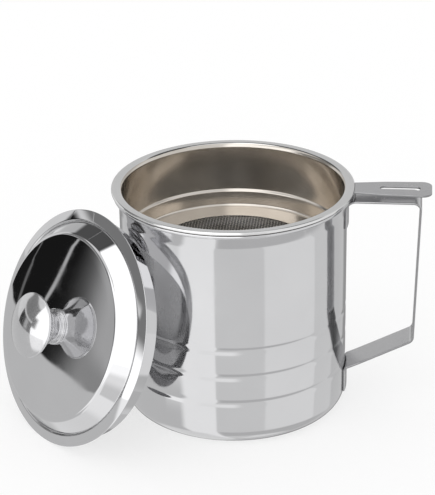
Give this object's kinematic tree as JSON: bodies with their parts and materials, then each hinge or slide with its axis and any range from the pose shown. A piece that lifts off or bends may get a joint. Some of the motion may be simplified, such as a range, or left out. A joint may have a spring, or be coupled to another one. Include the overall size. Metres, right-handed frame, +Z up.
{
  "type": "bacon grease container",
  "caption": "Round steel grease pot with a strip handle, a lift-out mesh strainer with a slotted finger tab, and a domed lid with a mushroom knob leaning on its side.",
  "frame": {"origin": "centre of the pot's flat base, on the surface it stands on", "axes": "+Z up along the pot's axis, +X towards the strip handle and the strainer's tab; the lid leans on the -X, -Y side"},
  "size_m": [0.2307, 0.1546, 0.124],
  "materials": {
    "polished_steel": "mirror-polished stainless steel",
    "strainer_steel": "polished stainless steel, drawn",
    "steel_mesh": "fine woven stainless wire",
    "brass_insert": "turned brass",
    "screw_steel": "plain steel"
  },
  "bodies": {
    "pot": {"pot_shell": "polished_steel", "handle_strap": "polished_steel"},
    "strainer": {"strainer_basket": "strainer_steel", "strainer_mesh": "steel_mesh", "mesh_ring": "strainer_steel", "strainer_tab": "polished_steel"},
    "lid": {"lid_shell": "polished_steel", "lid_skirt": "polished_steel", "knob_base": "polished_steel", "knob_neck": "polished_steel", "knob_cap": "polished_steel", "knob_insert": "brass_insert", "knob_washer": "screw_steel", "knob_screw": "screw_steel"}
  },
  "joints": [
    {"name": "strainer_lift", "type": "slide", "parent": "pot", "child": "strainer", "axis": [0, 0, 1], "range_m": [0, 0.11]},
    {"name": "lid_pull", "type": "slide", "parent": "pot", "child": "lid", "axis": [-0.6877, -0.6368, 0.3486], "range_m": [0, 0.12]}
  ]
}
